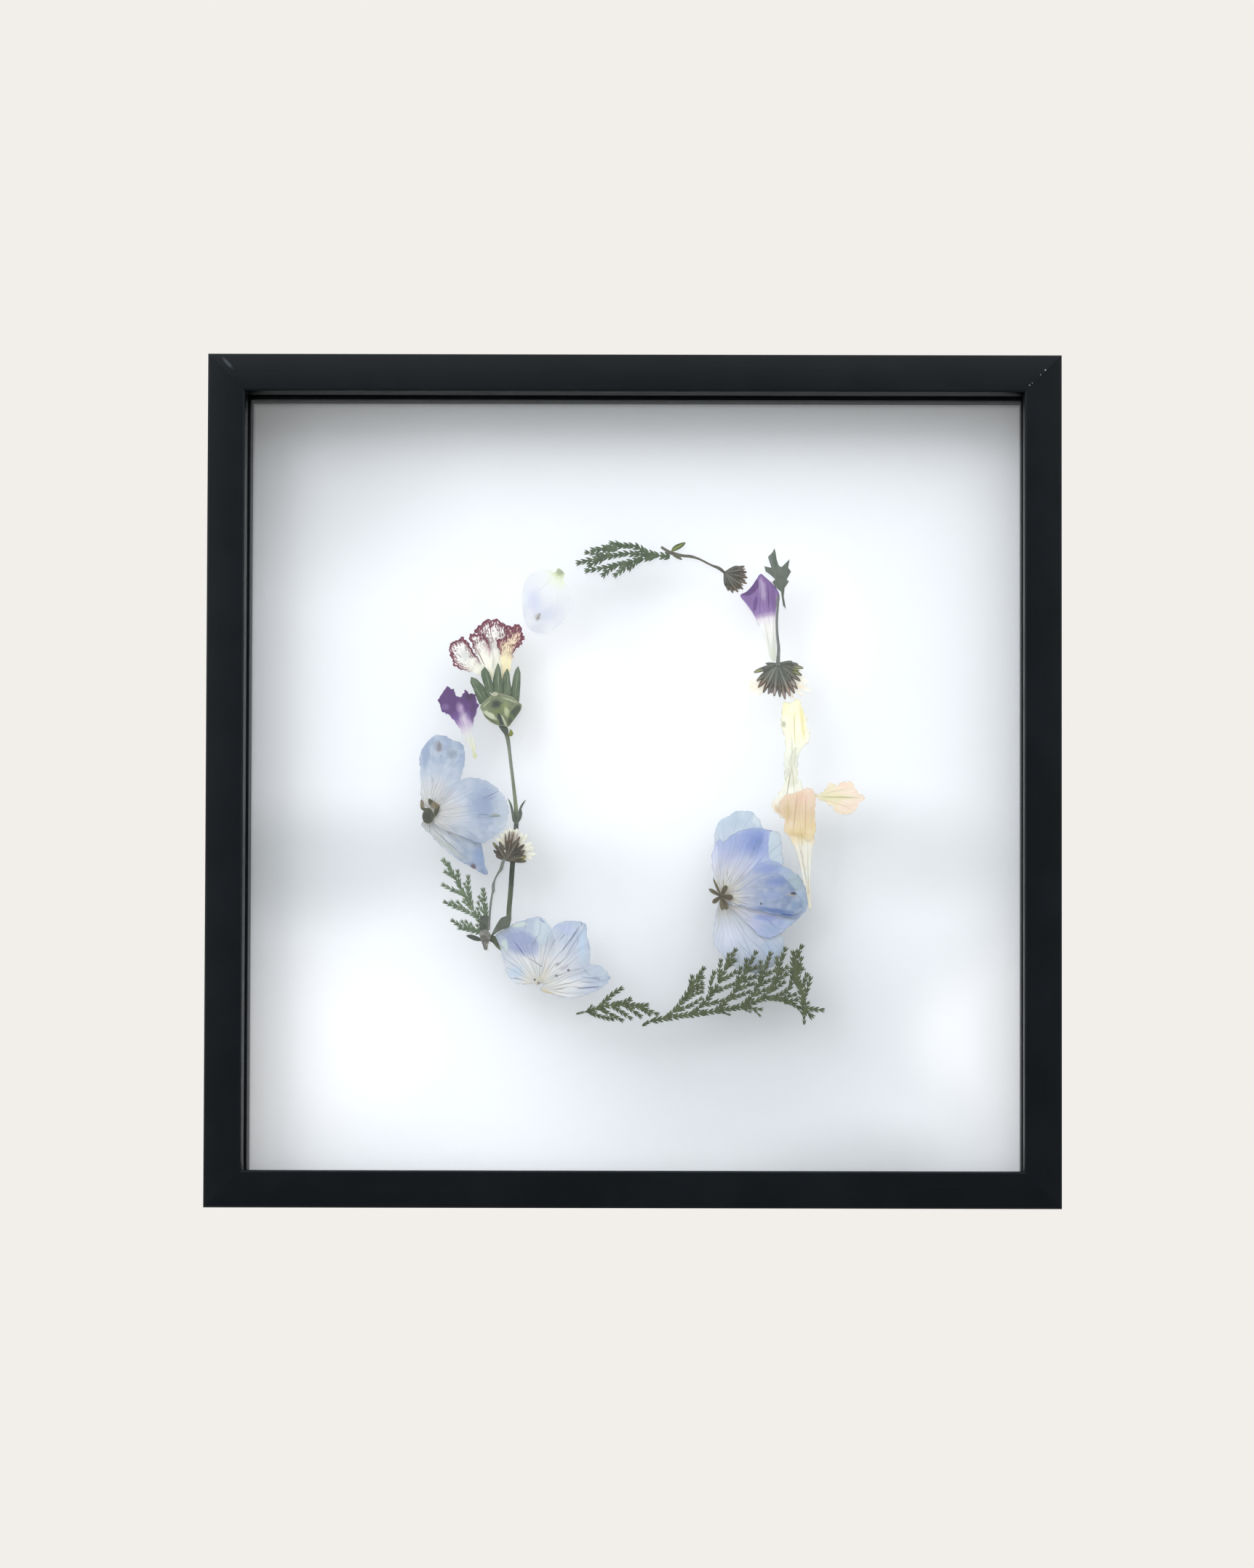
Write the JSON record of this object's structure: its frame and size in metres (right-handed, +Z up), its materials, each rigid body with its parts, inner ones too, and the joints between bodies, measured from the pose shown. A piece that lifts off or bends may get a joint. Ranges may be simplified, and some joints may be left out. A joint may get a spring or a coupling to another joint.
{
  "type": "pressed flower frame",
  "caption": "Square floating frame of black painted wood with two clear panes, holding a ring of pressed flowers, petals and cedar sprigs between the glass.",
  "frame": {"origin": "middle of the underside of the bottom rail: centre of the bounding box across X and Y, on its lowest face", "axes": "+Z up the frame, front of the glass towards -Y, +X to the viewer's right"},
  "size_m": [0.305, 0.0188, 0.305],
  "materials": {
    "black_wood": "black satin paint over wood, with faint grain and small scuffs",
    "clear_glass": "clear, smooth",
    "blue_petal": "thin, slightly see-through, with fine veins",
    "lilac_petal": "thin, nearly white, with lilac patches",
    "purple_petal": "thin, purple fading to white at the tube",
    "carnation_petal": "thin cream with burgundy rims and dashes",
    "cream_petal": "thin, cream",
    "yellow_petal": "thin, pale yellow, nearly faded out",
    "peach_petal": "thin, peach pink turning honey at the foot",
    "calyx_green": "dry, matt, ribbed",
    "bract_brown": "dry, matt, folded",
    "dried_leaf": "dry, matt, grey green",
    "cedar_scale": "dry, matt, overlapping small scales",
    "dried_stem": "dry, matt, fibrous"
  },
  "bodies": {
    "root": {"rail_top": "black_wood", "rail_right": "black_wood", "rail_bottom": "black_wood", "rail_left": "black_wood", "front_pane": "clear_glass", "back_pane": "clear_glass", "lilac_petal": "lilac_petal", "cedar_top": "cedar_scale", "bud_stem": "dried_stem", "bud_leaf": "dried_leaf", "closed_bud": "bract_brown", "lobed_leaf": "dried_leaf", "purple_bell": "purple_petal", "top_daisy_stem": "dried_stem", "top_daisy_bracts": "bract_brown", "top_daisy_petals": "cream_petal", "carnation_cup": "calyx_green", "carnation_sepals": "calyx_green", "carnation_petal_front": "carnation_petal", "carnation_petal_right": "carnation_petal", "carnation_petal_left": "carnation_petal", "carnation_petal_top": "carnation_petal", "carnation_bract": "dried_leaf", "carnation_side_bud": "dried_leaf", "carnation_stem": "dried_stem", "carnation_leaf_left": "dried_leaf", "carnation_leaf_right": "dried_leaf", "purple_heart_petal": "purple_petal", "left_blue_heart": "bract_brown", "left_blue_side": "blue_petal", "left_blue_top": "blue_petal", "left_blue_low": "blue_petal", "side_daisy_stem": "dried_stem", "side_daisy_bracts": "bract_brown", "side_daisy_petals": "cream_petal", "cedar_left": "cedar_scale", "stub_stem": "dried_stem", "stub_leaf_top": "dried_leaf", "stub_leaf_left": "dried_leaf", "stub_leaf_right": "dried_leaf", "stub_leaf_low": "dried_leaf", "low_blue_right": "blue_petal", "low_blue_top": "blue_petal", "low_blue_left": "blue_petal", "cedar_small": "cedar_scale", "cedar_large": "cedar_scale", "cedar_upright": "cedar_scale", "right_blue_heart": "bract_brown", "right_blue_inner": "blue_petal", "right_blue_wide": "blue_petal", "right_blue_upper": "blue_petal", "right_blue_lower": "blue_petal", "right_blue_top": "blue_petal", "right_blue_bottom": "blue_petal", "peach_bell": "peach_petal", "peach_petals": "peach_petal", "cream_bell": "cream_petal", "yellow_bell": "yellow_petal"}
  },
  "joints": []
}
